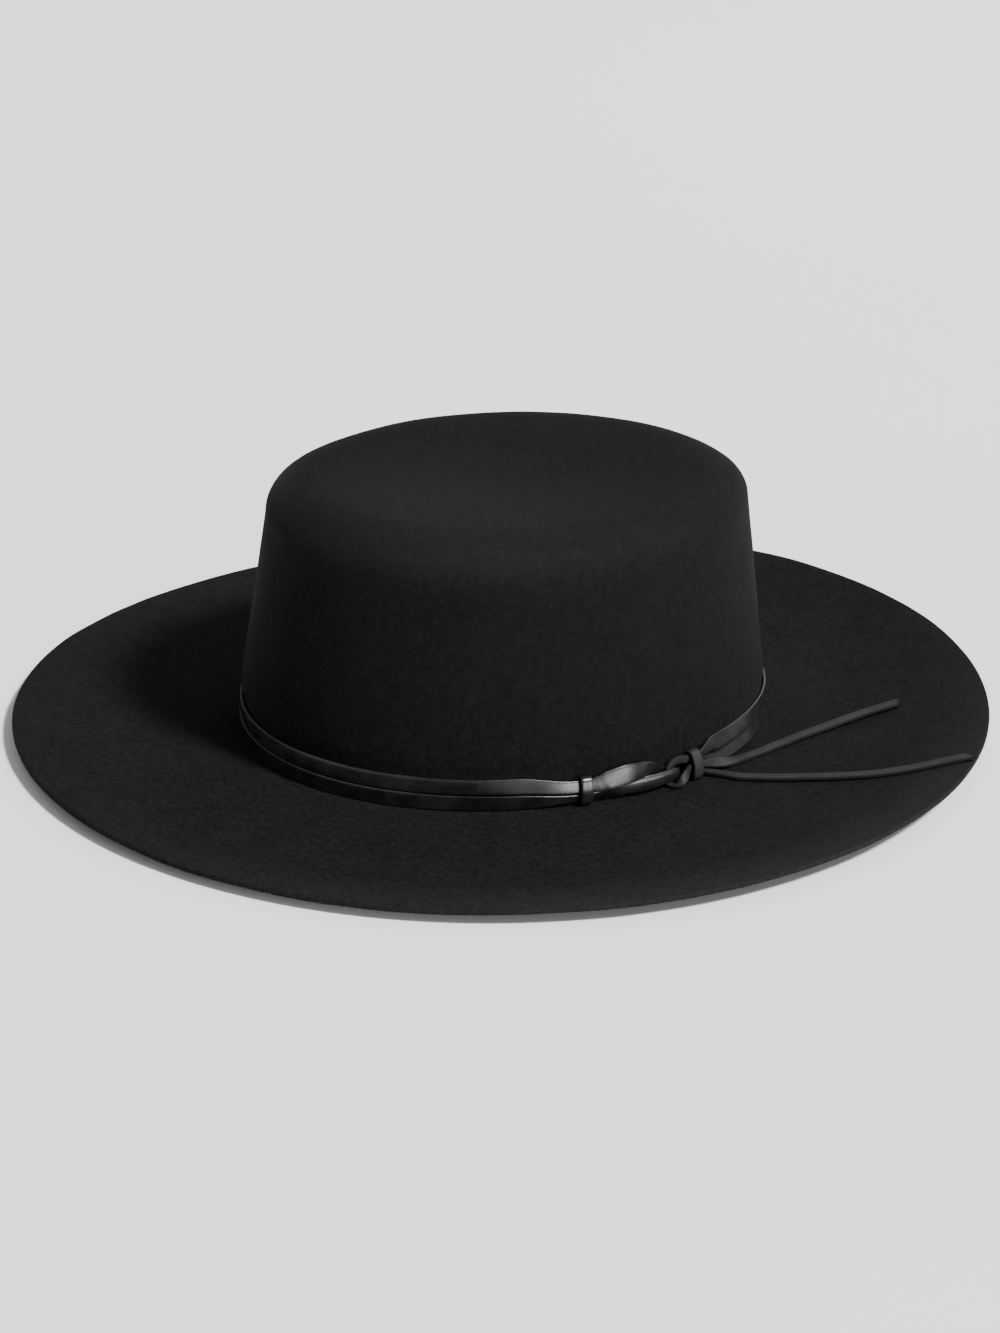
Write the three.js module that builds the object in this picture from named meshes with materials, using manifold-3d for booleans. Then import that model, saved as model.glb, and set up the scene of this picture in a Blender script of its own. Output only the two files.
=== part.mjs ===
import * as THREE from 'three';
import { mergeVertices } from 'three/addons/utils/BufferGeometryUtils.js';
import Module from 'manifold-3d';

const wasm = await Module();
wasm.setup();

// A black felt gaucho hat with a flat-topped oval crown, a wide flat brim and a doubled leather lace as its band.
// Millimetres. +X is the wearer's left, where the lace is fastened, -Y the front and +Z up.
// z = 0 is the flat ring of the brim's underside round the head hole, on which the hat rests.

// Crown. Widths are half widths of the outside, heights are above the top of the brim.
const crownLong = 104.2;
const crownSide = 89.8;
const crownHeight = 97.4;
const crownFrontLift = 1.1;
const crownLeftLift = 0.7;
const crownTaper = 10.5;
const taperStart = 8;
const bandTuck = 1.6;
const shoulderRun = 20;
const shoulderDrop = 11.6;
const shoulderSoftening = 3.4;
const dishDepth = 3.5;
const feltWall = 2.0;

// Brim. The rises are heights of its edge's underside: all round, more at the rear, at the left and at both
// ends, and a slight wave of three bumps.
const brimSideWidth = 89;
const brimEndWidth = 84.3;
const brimThickness = 2.5;
const brimFlatRun = 20;
const brimRise = 4.8;
const brimRearRise = 2.7;
const brimLeftRise = 1.6;
const brimEndRise = 1.9;
const brimWave = 1.0;
const brimSweep = 1.8;
const headEdgeRound = 2.4;

// Lace
const laceWidth = 5.8;
const laceThick = 1.2;
const laceEdge = 0.35;
const tailWidth = 5.0;
const clearance = 0.3;

// Fastening on the wearer's left. Places are lengths along the crown, rearward of its middle.
const frontKeeperPlace = -16.5;
const frontKeeperLength = 4.4;
const rearKeeperPlace = 31.1;
const rearKeeperLength = 4.8;
const frontKeptWidth = 3.9;
const rearKeptWidth = 3.0;
const keptReach = 0.22;

// Facets
const around = 60;
const stepAngle = (2 * Math.PI) / around;

const feltMaterial = new THREE.MeshStandardMaterial({ color: 0x17171a, roughness: 0.95, metalness: 0 });
const laceMaterial = new THREE.MeshStandardMaterial({ color: 0x151416, roughness: 0.38, metalness: 0 });

const bandTop = 2 * laceWidth + 2 * clearance;
const seatSide = crownSide - bandTuck;
const seatLong = crownLong - bandTuck;
const layerPitch = laceThick + clearance;

const lerp = THREE.MathUtils.lerp;
const shares = (count) => Array.from({ length: count }, (_, i) => (i + 1) / count);

// One closed body from rings of points that all have the same count. The rings run from one end of the
// body to the other, and each end is closed by a fan to a point in its middle.
function bodyFromRings(rings, firstMiddle, lastMiddle) {
  const count = rings[0].length;
  const places = rings.flat().flatMap((p) => [p.x, p.y, p.z]);
  const faces = [];
  for (let row = 0; row + 1 < rings.length; row += 1) {
    for (let i = 0; i < count; i += 1) {
      const next = (i + 1) % count;
      const a = row * count + i;
      const b = row * count + next;
      faces.push(a, b + count, b, a, a + count, b + count);
    }
  }
  const first = places.length / 3;
  const lastRow = (rings.length - 1) * count;
  places.push(firstMiddle.x, firstMiddle.y, firstMiddle.z, lastMiddle.x, lastMiddle.y, lastMiddle.z);
  for (let i = 0; i < count; i += 1) {
    const next = (i + 1) % count;
    faces.push(first, i, next, first + 1, lastRow + next, lastRow + i);
  }
  const geometry = new THREE.BufferGeometry();
  geometry.setAttribute('position', new THREE.Float32BufferAttribute(places, 3));
  geometry.setIndex(faces);
  return geometry;
}

function toManifold(geometry) {
  const merged = mergeVertices(geometry);
  return new wasm.Manifold(new wasm.Mesh({
    numProp: 3,
    vertProperties: new Float32Array(merged.getAttribute('position').array),
    triVerts: new Uint32Array(merged.getIndex().array),
  }));
}

function fromManifold(solid) {
  const { vertProperties, triVerts } = solid.getMesh();
  const geometry = new THREE.BufferGeometry();
  geometry.setAttribute('position', new THREE.BufferAttribute(vertProperties, 3));
  geometry.setIndex(new THREE.BufferAttribute(triVerts, 1));
  return geometry;
}

// Felt. Each profile point is one oval of the hat, given by its half widths and its height at the angle t,
// which runs from the wearer's left round by the rear.
function crownCrest(t) {
  return crownHeight - crownFrontLift * Math.sin(t) + crownLeftLift * Math.cos(t);
}

// The brim's oval at a share of the way from the crown to the edge, less the edge's rounding.
function brimOval(t, share, lift) {
  const edgeRadius = brimThickness / 2;
  const flat = brimFlatRun / brimEndWidth;
  const edge = brimRise + brimRearRise * Math.sin(t) + brimLeftRise * Math.cos(t)
    - brimEndRise * Math.cos(2 * t) + brimWave * Math.cos(3 * t);
  return {
    side: crownSide + share * (brimSideWidth - edgeRadius),
    long: crownLong + share * (brimEndWidth - edgeRadius),
    z: lift + edge * (Math.max(0, share - flat) / (1 - flat)) ** brimSweep,
  };
}

function crownOval(inset, z) {
  return { side: crownSide - inset, long: crownLong - inset, z: brimThickness + z };
}

function crownSkin(t, depth) {
  const crest = crownCrest(t) - depth;
  const drop = shoulderDrop + shoulderSoftening * (Math.cos(t) - Math.sin(t)) - depth;
  const run = shoulderRun - depth;
  const wallTop = crest - drop;
  const wall = [];
  for (const k of [0, 0.2, 0.4, 0.6, 0.8, 1]) {
    const z = lerp(bandTop + laceWidth, wallTop, k);
    wall.push(crownOval(depth + (crownTaper * (z - taperStart)) / (wallTop - taperStart), z));
  }
  const shoulder = shares(6).map((k) => {
    const turn = (k * Math.PI) / 2;
    return crownOval(depth + crownTaper + run * (1 - Math.cos(turn)), wallTop + drop * Math.sin(turn));
  });
  const rim = shoulder[shoulder.length - 1];
  const tip = [0.82, 0.62, 0.42, 0.2].map((k) => {
    const level = lerp(crownHeight - depth, crest, k) + brimThickness;
    return { side: rim.side * k, long: rim.long * k, z: level - (dishDepth * (1 + Math.cos(Math.PI * k))) / 2 };
  });
  return [...wall, ...shoulder, ...tip];
}

function feltProfile(t) {
  const edgeRadius = brimThickness / 2;
  const brimRun = [0.1, brimFlatRun / brimEndWidth, 0.38, 0.54, 0.7, 0.86, 1];
  const outside = crownSkin(t, 0).reverse();
  const inside = crownSkin(t, feltWall);
  const seat = [crownOval(bandTuck, bandTop), crownOval(bandTuck, 0)];
  const top = brimRun.map((share) => brimOval(t, share, brimThickness));
  const edge = [0.25, 0.5, 0.75].map((k) => {
    const turn = Math.PI * (0.5 - k);
    const rim = brimOval(t, 1, edgeRadius);
    const out = edgeRadius * Math.cos(turn);
    return { side: rim.side + out, long: rim.long + out, z: rim.z + edgeRadius * Math.sin(turn) };
  });
  const under = brimRun.map((share) => brimOval(t, share, 0)).reverse();
  const hole = [0, 0.5, 1].map((k) => {
    const turn = (k * Math.PI) / 2;
    const inset = bandTuck + feltWall - headEdgeRound * (1 - Math.sin(turn));
    return crownOval(inset, headEdgeRound * (1 - Math.cos(turn)) - brimThickness);
  });
  return [...outside, ...seat, ...top, ...edge, ...under, ...hole, crownOval(bandTuck + feltWall, bandTop), ...inside];
}

function feltGeometry() {
  const turns = Array.from({ length: around }, (_, i) => i * stepAngle);
  const profiles = turns.map(feltProfile);
  const rings = profiles[0].map((_, row) => turns.map((t, i) => {
    const { side, long, z } = profiles[i][row];
    return new THREE.Vector3(side * Math.cos(t), long * Math.sin(t), z);
  }));
  const topMiddle = brimThickness + crownHeight - dishDepth;
  return bodyFromRings(rings, new THREE.Vector3(0, 0, topMiddle), new THREE.Vector3(0, 0, topMiddle - feltWall));
}

// Lace. A point beside the crown is given by its angle, its distance out from the band's seat on the crown
// and its height above the brim. outward is the wall's direction there.
function besideCrown(t, out, up) {
  return new THREE.Vector3((seatSide + out) * Math.cos(t), (seatLong + out) * Math.sin(t), brimThickness + up);
}

function outward(t) {
  return new THREE.Vector3(Math.cos(t) / seatSide, Math.sin(t) / seatLong, 0).normalize();
}

const turnAt = (place) => place / crownLong;
const layerOut = (layer) => clearance + laceThick / 2 + layer * layerPitch;

// The lace's section, eight corners, set across its run. face is the direction that its flat side looks.
function laceRing(at, run, face, width, thick) {
  const up = face.clone().addScaledVector(run, -face.dot(run)).normalize();
  const wide = new THREE.Vector3().crossVectors(up, run);
  const w = width / 2;
  const h = thick / 2;
  const corners = [
    [w - laceEdge, h], [w, h - laceEdge], [w, laceEdge - h], [w - laceEdge, -h],
    [laceEdge - w, -h], [-w, laceEdge - h], [-w, h - laceEdge], [laceEdge - w, h],
  ];
  return corners.map(([x, y]) => at.clone().addScaledVector(wide, x).addScaledVector(up, y));
}

// A lace through stations, each with its place, width and facing direction. The first and last stations
// may state the direction in which the lace is cut off, so that it ends flat inside a keeper.
function laceGeometry(stations, curve) {
  const last = stations.length - 1;
  const rings = stations.map((s, i) => {
    const run = curve ? curve.getTangent(i / last) : s.run;
    return laceRing(s.at, run, s.face, s.width, laceThick);
  });
  return bodyFromRings(rings, stations[0].at, stations[last].at);
}

// Stations of a lace that follows a table. Its columns are
// along: place between the keepers' middles, 0 at the front one and 1 at the rear one,
// layer: how many laces lie between it and the crown,
// foot: how many laces lie under it, up: height above that in lace widths,
// wide: width as a share of the lace's, face: degrees that its flat side looks up from outward.
function stationsFromTable(table, perRow) {
  const rows = table.map((row) => {
    const t = turnAt(lerp(frontKeeperPlace, rearKeeperPlace, row.along));
    const up = clearance + laceThick / 2 + row.foot * layerPitch + row.up * laceWidth;
    return { ...row, t, at: besideCrown(t, layerOut(row.layer), up) };
  });
  const curve = new THREE.CatmullRomCurve3(rows.map((row) => row.at), false, 'centripetal');
  const count = (rows.length - 1) * perRow;
  const stations = Array.from({ length: count + 1 }, (_, i) => {
    const from = Math.min(rows.length - 2, Math.floor(i / perRow));
    const k = i / perRow - from;
    const t = lerp(rows[from].t, rows[from + 1].t, k);
    const face = THREE.MathUtils.degToRad(lerp(rows[from].face, rows[from + 1].face, k));
    const looks = outward(t).multiplyScalar(Math.cos(face)).setZ(Math.sin(face));
    return {
      at: curve.getPoint(i / count),
      width: laceWidth * lerp(rows[from].wide, rows[from + 1].wide, k),
      face: looks,
    };
  });
  return { stations, curve };
}

// The two runs of the band, from inside the rear keeper round by the rear, the far side and the front
// into the front keeper. level is 0 for the lower run and 1 for the upper one.
function bandGeometry(level) {
  const from = turnAt(rearKeeperPlace + clearance / 2);
  const to = 2 * Math.PI + turnAt(frontKeeperPlace - clearance / 2);
  const whole = Array.from({ length: around * 2 }, (_, i) => i * stepAngle);
  const leave = from + turnAt(rearKeeperLength / 2 + clearance);
  const enter = to - turnAt(frontKeeperLength / 2 + clearance);
  const between = whole.filter((t) => t > leave + stepAngle / 4 && t < enter - stepAngle / 4);
  const turns = [from, leave, ...between, enter, to];
  const stations = turns.map((t) => {
    const rear = keptShare(t - leave);
    const front = keptShare(enter - t);
    const width = laceWidth + rear * (rearKeptWidth - laceWidth) + front * (frontKeptWidth - laceWidth);
    const foot = clearance + (2 * rear + front) * layerPitch;
    const at = besideCrown(t, layerOut(rear + front), foot + width / 2 + level * (width + clearance));
    const run = new THREE.Vector3(-seatSide * Math.sin(t), seatLong * Math.cos(t), 0).normalize();
    return { at, run, width, face: outward(t) };
  });
  return laceGeometry(stations);
}

// 1 inside a keeper, falling smoothly to 0 at the angle keptReach beyond its end.
function keptShare(angle) {
  return 1 - THREE.MathUtils.smoothstep(angle, 0, keptReach);
}

// The front loop leaves the front keeper as the upper arm, turns down behind the rear loop, turns back at its
// tip and returns as the lower arm, outside the rear loop and over its lace.
const upperArm = [
  { along: 0.003, layer: 1.55, foot: 1, up: 0.90, wide: 0.67, face: 0 },
  { along: 0.050, layer: 1.55, foot: 1, up: 0.90, wide: 0.67, face: 0 },
  { along: 0.120, layer: 1.65, foot: 1, up: 1.08, wide: 0.85, face: 6 },
  { along: 0.195, layer: 1.70, foot: 1, up: 1.34, wide: 0.98, face: 10 },
  { along: 0.331, layer: 1.60, foot: 1, up: 1.48, wide: 1.03, face: 12 },
  { along: 0.469, layer: 1.30, foot: 1, up: 1.38, wide: 0.97, face: 8 },
  { along: 0.560, layer: 0.95, foot: 1, up: 1.22, wide: 0.90, face: 0 },
  { along: 0.615, layer: 0.45, foot: 1, up: 0.95, wide: 0.84, face: 0 },
  { along: 0.680, layer: 0.10, foot: 1, up: 0.66, wide: 0.78, face: 0 },
  { along: 0.760, layer: 0.00, foot: 1, up: 0.50, wide: 0.68, face: 0 },
  { along: 0.806, layer: 0.28, foot: 1, up: 0.46, wide: 0.62, face: 0 },
];
const lowerArm = [
  { along: 0.806, layer: 0.28, foot: 1, up: 0.46, wide: 0.62, face: 0 },
  { along: 0.832, layer: 1.10, foot: 1, up: 0.46, wide: 0.62, face: 0 },
  { along: 0.806, layer: 1.95, foot: 1, up: 0.47, wide: 0.68, face: 0 },
  { along: 0.758, layer: 2.20, foot: 1, up: 0.50, wide: 0.82, face: 6 },
  { along: 0.680, layer: 2.20, foot: 1, up: 0.47, wide: 0.84, face: 10 },
  { along: 0.613, layer: 2.15, foot: 1, up: 0.45, wide: 0.86, face: 12 },
  { along: 0.469, layer: 2.05, foot: 1, up: 0.50, wide: 1.05, face: 14 },
  { along: 0.331, layer: 1.85, foot: 1, up: 0.64, wide: 0.98, face: 10 },
  { along: 0.195, layer: 1.50, foot: 1, up: 0.82, wide: 0.85, face: 6 },
  { along: 0.120, layer: 1.20, foot: 1, up: 0.72, wide: 0.75, face: 0 },
  { along: 0.050, layer: 1.00, foot: 1, up: 0.62, wide: 0.69, face: 0 },
  { along: 0.003, layer: 1.00, foot: 1, up: 0.62, wide: 0.69, face: 0 },
];

function frontLoopGeometry() {
  const arms = [upperArm, lowerArm].map((table) => {
    const { stations, curve } = stationsFromTable(table, 2);
    return toManifold(laceGeometry(stations, curve));
  });
  return fromManifold(arms[0].add(arms[1]));
}

// The rear loop leaves the rear keeper high up, goes down between the front loop's two arms, passes under the
// lower one and returns to the keeper outside.
const rearLoop = [
  { along: 0.997, layer: 1.00, foot: 1, up: 1.03, wide: 0.52, face: 0 },
  { along: 0.950, layer: 1.00, foot: 1, up: 1.03, wide: 0.52, face: 0 },
  { along: 0.900, layer: 1.10, foot: 1, up: 1.14, wide: 0.55, face: 0 },
  { along: 0.843, layer: 1.20, foot: 1, up: 1.23, wide: 0.56, face: 0 },
  { along: 0.782, layer: 1.14, foot: 1, up: 1.15, wide: 0.54, face: 0 },
  { along: 0.746, layer: 1.08, foot: 1, up: 0.80, wide: 0.50, face: 0 },
  { along: 0.740, layer: 1.05, foot: 1, up: 0.25, wide: 0.48, face: 0 },
  { along: 0.744, layer: 1.25, foot: 0, up: 0.14, wide: 0.50, face: 45 },
  { along: 0.752, layer: 2.10, foot: 0, up: 0.02, wide: 0.52, face: 90 },
  { along: 0.768, layer: 3.20, foot: 0, up: 0.04, wide: 0.54, face: 90 },
  { along: 0.800, layer: 3.85, foot: 0, up: 0.22, wide: 0.56, face: 75 },
  { along: 0.850, layer: 3.50, foot: 1, up: 0.25, wide: 0.58, face: 45 },
  { along: 0.905, layer: 2.60, foot: 1, up: 0.42, wide: 0.56, face: 14 },
  { along: 0.943, layer: 2.05, foot: 1, up: 0.48, wide: 0.53, face: 0 },
  { along: 0.997, layer: 2.00, foot: 1, up: 0.48, wide: 0.53, face: 0 },
];

function rearLoopGeometry() {
  const { stations, curve } = stationsFromTable(rearLoop, 2);
  return laceGeometry(stations, curve);
}

// A keeper is a sleeve of the same leather. Its inner outline has the columns deep (laces out from its back
// wall) and tall (lace widths above its floor).
const frontKeeperOutline = [
  { deep: 0.00, tall: 0.00 },
  { deep: 1.60, tall: 0.00 },
  { deep: 1.90, tall: 0.35 },
  { deep: 1.90, tall: 1.38 },
  { deep: 1.50, tall: 1.55 },
  { deep: 0.00, tall: 1.55 },
];
const rearKeeperOutline = [
  { deep: 0.00, tall: 0.00 },
  { deep: 2.47, tall: 0.00 },
  { deep: 2.47, tall: 0.47 },
  { deep: 2.20, tall: 0.97 },
  { deep: 1.20, tall: 1.49 },
  { deep: 0.00, tall: 1.49 },
];

function keeperGeometry(place, length, outline) {
  const skin = clearance + laceThick;
  const inner = outline.map((row) => new THREE.Vector2(skin + row.deep * layerPitch, skin + row.tall * laceWidth));
  const outer = offsetOutline(inner, laceThick);
  const sleeve = (points, halfLength) => {
    const ends = [place - halfLength, place + halfLength].map((end) => {
      return points.map((p) => besideCrown(turnAt(end), p.x, p.y));
    });
    const middle = (ring) => ring.reduce((sum, p) => sum.add(p), new THREE.Vector3()).divideScalar(ring.length);
    return toManifold(bodyFromRings(ends, middle(ends[0]), middle(ends[1])));
  };
  return fromManifold(sleeve(outer, length / 2).subtract(sleeve(inner, length)));
}

// A convex outline moved outward by a distance, with each corner rounded by two cuts.
function offsetOutline(points, distance) {
  const count = points.length;
  const normal = (a, b) => new THREE.Vector2(b.y - a.y, a.x - b.x).normalize();
  return points.flatMap((p, i) => {
    const before = normal(points[(i + count - 1) % count], p);
    const after = normal(p, points[(i + 1) % count]);
    const middle = before.clone().add(after).normalize();
    return [before, middle, after].map((n) => p.clone().addScaledVector(n, distance));
  });
}

// The free ends. Each row is x, y, z of the lace's middle and the degrees that its flat side looks up.
const upperTailRoute = [
  [87.9, 31.5, 7.5, 0],
  [87.1, 34.6, 7.5, 0],
  [86.4, 38.5, 7.1, 15],
  [85.2, 43.5, 5.7, 45],
  [83.7, 49.5, 4.2, 75],
  [82.3, 55.0, 3.6, 90],
  [80.9, 61.0, 3.5, 90],
  [79.9, 66.0, 3.5, 90],
  [78.6, 71.3, 3.6, 90],
  [77.2, 77.3, 3.7, 90],
  [75.8, 83.5, 3.85, 90],
  [74.5, 90.0, 4.0, 90],
  [73.5, 96.7, 4.2, 90],
  [71.3, 110.0, 4.7, 90],
  [70.0, 122.0, 5.4, 90],
  [70.1, 135.7, 6.5, 90],
];
const lowerTailRoute = [
  [87.45, 31.45, 4.9, 90],
  [86.75, 34.5, 4.85, 90],
  [88.0, 38.2, 4.1, 90],
  [91.0, 42.0, 3.65, 90],
  [95.6, 46.3, 3.6, 90],
  [98.6, 50.8, 3.65, 90],
  [101.6, 55.6, 3.75, 90],
  [104.8, 61.2, 3.95, 90],
  [108.0, 67.0, 4.2, 90],
  [111.2, 72.4, 4.5, 90],
  [114.4, 78.0, 4.9, 90],
  [120.4, 89.6, 5.9, 90],
  [124.8, 102.0, 7.2, 90],
  [128.0, 114.0, 8.7, 90],
  [131.4, 125.0, 10.4, 90],
];

function tailGeometry(route) {
  const curve = new THREE.CatmullRomCurve3(route.map(([x, y, z]) => new THREE.Vector3(x, y, z)), false, 'centripetal');
  const count = (route.length - 1) * 2;
  const stations = Array.from({ length: count + 1 }, (_, i) => {
    const from = Math.min(route.length - 2, Math.floor(i / 2));
    const face = THREE.MathUtils.degToRad(lerp(route[from][3], route[from + 1][3], i / 2 - from));
    const at = curve.getPoint(i / count);
    const out = outward(Math.atan2(at.y / seatLong, at.x / seatSide));
    return {
      at,
      width: lerp(rearKeptWidth, tailWidth, THREE.MathUtils.smoothstep(i, 2, 8)),
      face: out.multiplyScalar(Math.cos(face)).setZ(Math.sin(face)),
    };
  });
  return laceGeometry(stations, curve);
}

const hat = new THREE.Group();

function addPiece(name, geometry, material) {
  const mesh = new THREE.Mesh(geometry, material.clone());
  mesh.name = name;
  hat.add(mesh);
}

addPiece('felt_body', feltGeometry(), feltMaterial);
addPiece('lower_band', bandGeometry(0), laceMaterial);
addPiece('upper_band', bandGeometry(1), laceMaterial);
addPiece('front_keeper', keeperGeometry(frontKeeperPlace, frontKeeperLength, frontKeeperOutline), laceMaterial);
addPiece('front_loop', frontLoopGeometry(), laceMaterial);
addPiece('rear_loop', rearLoopGeometry(), laceMaterial);
addPiece('rear_keeper', keeperGeometry(rearKeeperPlace, rearKeeperLength, rearKeeperOutline), laceMaterial);
addPiece('upper_tail', tailGeometry(upperTailRoute), laceMaterial);
addPiece('lower_tail', tailGeometry(lowerTailRoute), laceMaterial);

export default hat;
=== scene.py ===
"""A black felt gaucho hat with a doubled leather lace as its band, lying on a pale studio floor.

Metres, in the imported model's frame: +X is the wearer's left, -Y the front and +Z up.
"""
from math import cos, pi, radians, sin, sqrt

import bpy
from mathutils import Matrix, Vector, noise


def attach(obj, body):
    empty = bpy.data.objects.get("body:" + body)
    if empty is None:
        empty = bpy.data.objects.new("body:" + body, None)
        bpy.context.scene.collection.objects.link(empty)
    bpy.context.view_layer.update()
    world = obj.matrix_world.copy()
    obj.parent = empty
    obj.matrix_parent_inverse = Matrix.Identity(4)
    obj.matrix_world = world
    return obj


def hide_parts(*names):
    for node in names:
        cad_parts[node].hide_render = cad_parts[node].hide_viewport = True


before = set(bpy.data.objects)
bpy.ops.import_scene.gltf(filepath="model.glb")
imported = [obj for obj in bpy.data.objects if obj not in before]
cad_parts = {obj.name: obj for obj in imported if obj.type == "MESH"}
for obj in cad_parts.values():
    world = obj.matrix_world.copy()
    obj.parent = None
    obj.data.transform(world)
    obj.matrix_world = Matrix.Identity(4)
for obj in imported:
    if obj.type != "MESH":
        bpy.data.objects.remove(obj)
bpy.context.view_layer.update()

MM = 0.001
CENTIMETRE = 10 * MM
TURN = 2 * pi

# Crown. Widths are half widths of the outside, heights are above the top of the brim.
CROWN_LONG = 104.2 * MM
CROWN_SIDE = 89.8 * MM
CROWN_HEIGHT = 97.4 * MM
CROWN_FRONT_LIFT = 1.1 * MM
CROWN_LEFT_LIFT = 0.7 * MM
CROWN_TAPER = 10.5 * MM
TAPER_START = 8 * MM
BAND_TUCK = 1.6 * MM
SHOULDER_RUN = 20 * MM
SHOULDER_DROP = 11.6 * MM
SHOULDER_SOFTENING = 3.4 * MM
DISH_DEPTH = 3.5 * MM
FELT_WALL = 2.0 * MM

# Brim
BRIM_SIDE_WIDTH = 89 * MM
BRIM_END_WIDTH = 84.3 * MM
BRIM_THICKNESS = 2.5 * MM
BRIM_FLAT_RUN = 20 * MM
BRIM_RISE = 4.8 * MM
BRIM_REAR_RISE = 2.7 * MM
BRIM_LEFT_RISE = 1.6 * MM
BRIM_END_RISE = 1.9 * MM
BRIM_WAVE = 1.0 * MM
BRIM_SWEEP = 1.8
HEAD_EDGE_ROUND = 2.4 * MM
SEAT_ROUND = 1.2 * MM
BRIM_EDGE_ROUND = 0.7 * MM
BRIM_EDGE_DIP = 0.35 * MM
BRIM_EDGE_DIP_FROM = 0.94
UNDERSIDE_INNER_SHARE = 0.02

# The seat's deeper stretch: its depth, and the angles between which it sets in and ends
LEFT_TUCK = 0.9 * MM
LEFT_TUCK_SETS_IN = (3.1, 3.9)
LEFT_TUCK_ENDS = (4.6, 5.3)

# Uneven waves of the felt. Each wave is a length and a height.
WIDE_WAVE = (38 * MM, 0.45 * MM)
FINE_WAVE = (14 * MM, 0.12 * MM)
FINE_WAVE_SHIFT = (7, 3, 1)
WAVY_BRIM_FROM = (1.35, 1.6)
WAVY_CROWN_FROM = (6 * MM, 25 * MM)
CROWN_WAVE_OUT = 0.8
CROWN_WAVE_UP = 0.6

# Lace
LACE_WIDTH = 5.8 * MM
LACE_THICK = 1.2 * MM
LACE_EDGE = 0.42 * MM
LACE_SWELL = 0.12 * MM
BAND_SWELL = 0.04 * MM
ROLLED_SWELL = 0.45 * MM
SWELL_CHANGE = (0.4, 0.6)
TAIL_WIDTH = 4.7 * MM
TAIL_OPENS_BETWEEN_ROWS = (1, 4)
UPPER_TIP_SLANT = 0.6
LOWER_TIP_SLANT = -0.6
CLEARANCE = 0.3 * MM

# Fastening on the wearer's left. Places are lengths along the crown, rearward of its middle.
FRONT_KEEPER_PLACE = -16.5 * MM
FRONT_KEEPER_LENGTH = 4.4 * MM
REAR_KEEPER_PLACE = 31.1 * MM
REAR_KEEPER_LENGTH = 4.8 * MM
REAR_KEPT_WIDTH = 3.0 * MM
KEPT_REACH = 0.22
REAR_KEPT_REACH = 0.13
REAR_GAP = 0.8 * MM
KEPT_FACE_LOSS = 0.6
KEEPER_ROUND = 1.2 * MM
CORNER_SHARE = 0.45
KEEPER_SWELL = 0.08 * MM

# Stretches of the band, as angles round the crown
BAND_COMES_INTO_VIEW = (4.0, 4.8)
BAND_NEARS_FRONT_KEEPER = (5.65, 5.95)
BAND_LEAVES_REAR_KEEPER = (0.25, 0.70)

# Camera, as fitted to the outlines in the photograph
PHOTO_HEIGHT = 1333
CAMERA_AZIMUTH = 30
CAMERA_ELEVATION = 22.76
CAMERA_ROLL = 1.35
CAMERA_DISTANCE = 1500 * MM
CAMERA_FOCAL_PX = 3926.9
CAMERA_AIM_HEIGHT = 20.33 * MM
CAMERA_SHIFT_PX = 4.27
CAMERA_FAR = 40
SENSOR = 36

FLOOR_REACH = 12

# Light. Directions and places go by the picture's right, the way toward the camera, and up. Each soft box
# has a place, a width and height, and a power in watts.
KEY_DIRECTION = (0.54, 0.34, 0.77)
KEY_ANGLE = 10
KEY_STRENGTH = 6.4
FILL_STRENGTH = 0.38
SOFTBOXES = {
    "back": ((0.8, -1.1, 0.95), (1.3, 0.7), 8),
    "front": ((1.15, 1.12, 0.25), (0.95, 0.18), 15),
    "left": ((-1.3, 0.7, 0.30), (0.9, 0.5), 3),
}
SOFTBOX_AIM = (0, 0, 30 * MM)

# How finely the meshes are cut
AROUND = 360
WALL_ROWS = 26
SHOULDER_ROWS = 22
TIP_ROWS = 30
LIP_ROWS = 8
SEAT_ROWS = 8
SEAT_ROUND_ROWS = 5
BRIM_ROWS = 44
BRIM_EDGE_ROWS = 6
HEAD_EDGE_ROWS = 6
HEAD_WALL_ROWS = 6
LACE_CORNER_STEPS = 4
FACE_POINTS = (-0.6, -0.3, 0.0, 0.3, 0.6)
BACK_POINTS = (0.6, 0.2, -0.2, -0.6)
SLANT_RINGS = 6
RUN_STEP = 0.02
LOOP_RINGS_PER_ROW = 10
TAIL_RINGS_PER_ROW = 8
BAND_RINGS = 640
KEEPER_CORNER_STEPS = 5

BAND_TOP = 2 * LACE_WIDTH + 2 * CLEARANCE
SEAT_SIDE = CROWN_SIDE - BAND_TUCK
SEAT_LONG = CROWN_LONG - BAND_TUCK
LAYER_PITCH = LACE_THICK + CLEARANCE


def lerp(a, b, k):
    return a + (b - a) * k


def smooth(value, low, high):
    """0 below low, 1 above high and an even curve between them."""
    k = min(1.0, max(0.0, (value - low) / (high - low)))
    return k * k * (3 - 2 * k)


# Camera

def add_camera():
    camera = bpy.data.objects.new("camera", bpy.data.cameras.new("camera"))
    bpy.context.scene.collection.objects.link(camera)
    camera.data.sensor_width = SENSOR
    camera.data.lens = CAMERA_FOCAL_PX * SENSOR / PHOTO_HEIGHT
    camera.data.shift_x = -CAMERA_SHIFT_PX / PHOTO_HEIGHT
    azimuth = radians(CAMERA_AZIMUTH)
    elevation = radians(CAMERA_ELEVATION)
    back = Vector((cos(azimuth) * cos(elevation), -sin(azimuth) * cos(elevation), sin(elevation)))
    turn = back.to_track_quat("Z", "Y").to_matrix().to_4x4() @ Matrix.Rotation(radians(CAMERA_ROLL), 4, "Z")
    place = Vector((0, 0, CAMERA_AIM_HEIGHT)) + back * CAMERA_DISTANCE
    camera.matrix_world = Matrix.Translation(place) @ turn
    camera.data.clip_end = CAMERA_FAR
    bpy.context.scene.camera = camera


# Materials

WHITE = (1, 1, 1, 1)

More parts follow.
